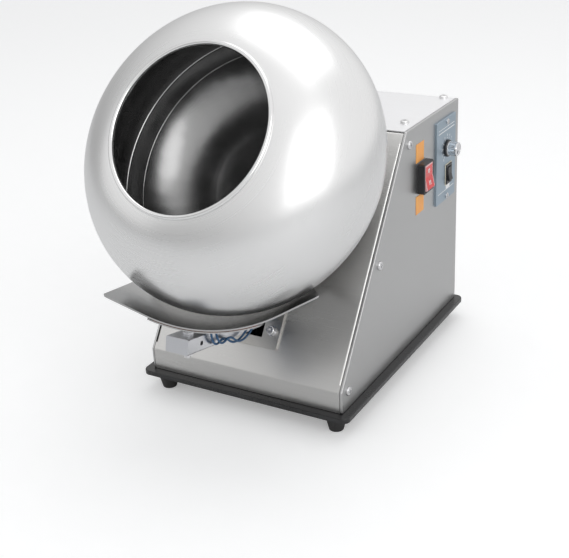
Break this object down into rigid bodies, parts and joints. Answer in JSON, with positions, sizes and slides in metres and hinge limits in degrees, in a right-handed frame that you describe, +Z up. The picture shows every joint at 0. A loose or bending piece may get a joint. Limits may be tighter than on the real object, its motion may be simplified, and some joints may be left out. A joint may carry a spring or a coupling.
{
  "type": "chocolate panning machine",
  "caption": "Bench-top chocolate panning machine: tilted spun steel pot with rolled mouth, driven from a leaning sheet-steel housing, with a heated tray held under the pot.",
  "frame": {"origin": "centre of the whole machine's footprint box, on the ground", "axes": "+X to the control side, +Y to the back, away from the mouth of the pot, +Z up"},
  "size_m": [0.3, 0.4214, 0.4083],
  "materials": {
    "polished_steel": "satin-polished stainless steel",
    "brushed_panel": "brushed stainless sheet",
    "black_enamel": "gloss black enamel",
    "foot_rubber": "matt black rubber",
    "zinc_steel": "zinc-plated steel",
    "plain_steel": "ground bearing steel",
    "cast_grey": "cast aluminium, bead blasted",
    "motor_paint": "dark grey machine paint",
    "control_blue": "blue-grey anodised aluminium",
    "black_plastic": "moulded black plastic",
    "knob_chrome": "bright plated with black flutes",
    "rocker_red": "clear red moulding",
    "label_orange": "blank orange film",
    "silicone_pad": "silicone heating mat",
    "lead_blue": "blue silicone insulation"
  },
  "bodies": {
    "housing": {"arm_bolt": "zinc_steel", "arm_bracket": "motor_paint", "back_cover": "brushed_panel", "back_cover_screws": "zinc_steel", "back_left_foot": "foot_rubber", "back_right_foot": "foot_rubber", "base_plate": "black_enamel", "base_plate_screws": "zinc_steel", "bearing_housing": "plain_steel", "bearing_housing_bolts": "zinc_steel", "controller_body": "black_plastic", "controller_face": "control_blue", "controller_screws": "zinc_steel", "drive_stand": "motor_paint", "foot_screws": "zinc_steel", "front_left_foot": "foot_rubber", "front_panel": "brushed_panel", "front_right_foot": "foot_rubber", "gear_motor": "motor_paint", "gearbox": "cast_grey", "gearbox_bolts": "zinc_steel", "heater_arm": "brushed_panel", "heater_lead_back": "lead_blue", "heater_lead_front": "lead_blue", "heater_pad": "silicone_pad", "heater_tray": "brushed_panel", "left_back_rail": "zinc_steel", "left_base_rail": "zinc_steel", "left_side_panel": "brushed_panel", "left_top_rail": "zinc_steel", "main_switch_housing": "black_plastic", "mains_inlet": "black_plastic", "motor_fan_cover": "black_plastic", "right_back_rail": "zinc_steel", "right_base_rail": "zinc_steel", "right_side_panel": "brushed_panel", "right_top_rail": "zinc_steel", "run_capacitor": "black_plastic", "run_switch_housing": "black_plastic", "shaft_bearing": "plain_steel", "side_panel_screws": "zinc_steel", "switch_labels": "label_orange", "top_cover": "brushed_panel", "top_cover_screws": "zinc_steel", "tray_clamp_plate": "brushed_panel", "tray_stud": "zinc_steel", "tray_stud_nuts": "zinc_steel", "window_plate": "brushed_panel", "window_plate_screws": "zinc_steel"},
    "pot": {"pot_front_bowl": "polished_steel", "pot_back_bowl": "polished_steel", "pot_mouth_bead": "polished_steel", "pot_hub": "plain_steel", "pot_hub_studs": "zinc_steel", "main_shaft": "plain_steel", "gearbox_output_shaft": "plain_steel"},
    "speed_dial": {"speed_knob": "knob_chrome", "speed_spindle": "zinc_steel"},
    "main_switch_rocker": {"main_rocker": "rocker_red"},
    "run_switch_rocker": {"run_rocker": "black_plastic"}
  },
  "joints": [
    {"name": "pot_spin", "type": "hinge", "parent": "housing", "child": "pot", "pos_m": [0, -0.08372, 0.271], "axis": [0, -0.8141, 0.5807], "continuous": true},
    {"name": "speed_turn", "type": "hinge", "parent": "housing", "child": "speed_dial", "pos_m": [0.11405, 0.16718, 0.2205], "axis": [-1, 0, 0], "range_deg": [0, 280]},
    {"name": "main_rocker_tilt", "type": "hinge", "parent": "housing", "child": "main_switch_rocker", "pos_m": [0.11555, 0.10368, 0.208], "axis": [0, 1, 0], "range_deg": [0, 12]},
    {"name": "run_rocker_tilt", "type": "hinge", "parent": "housing", "child": "run_switch_rocker", "pos_m": [0.11675, 0.17068, 0.1905], "axis": [0, 1, 0], "range_deg": [0, 14]}
  ]
}
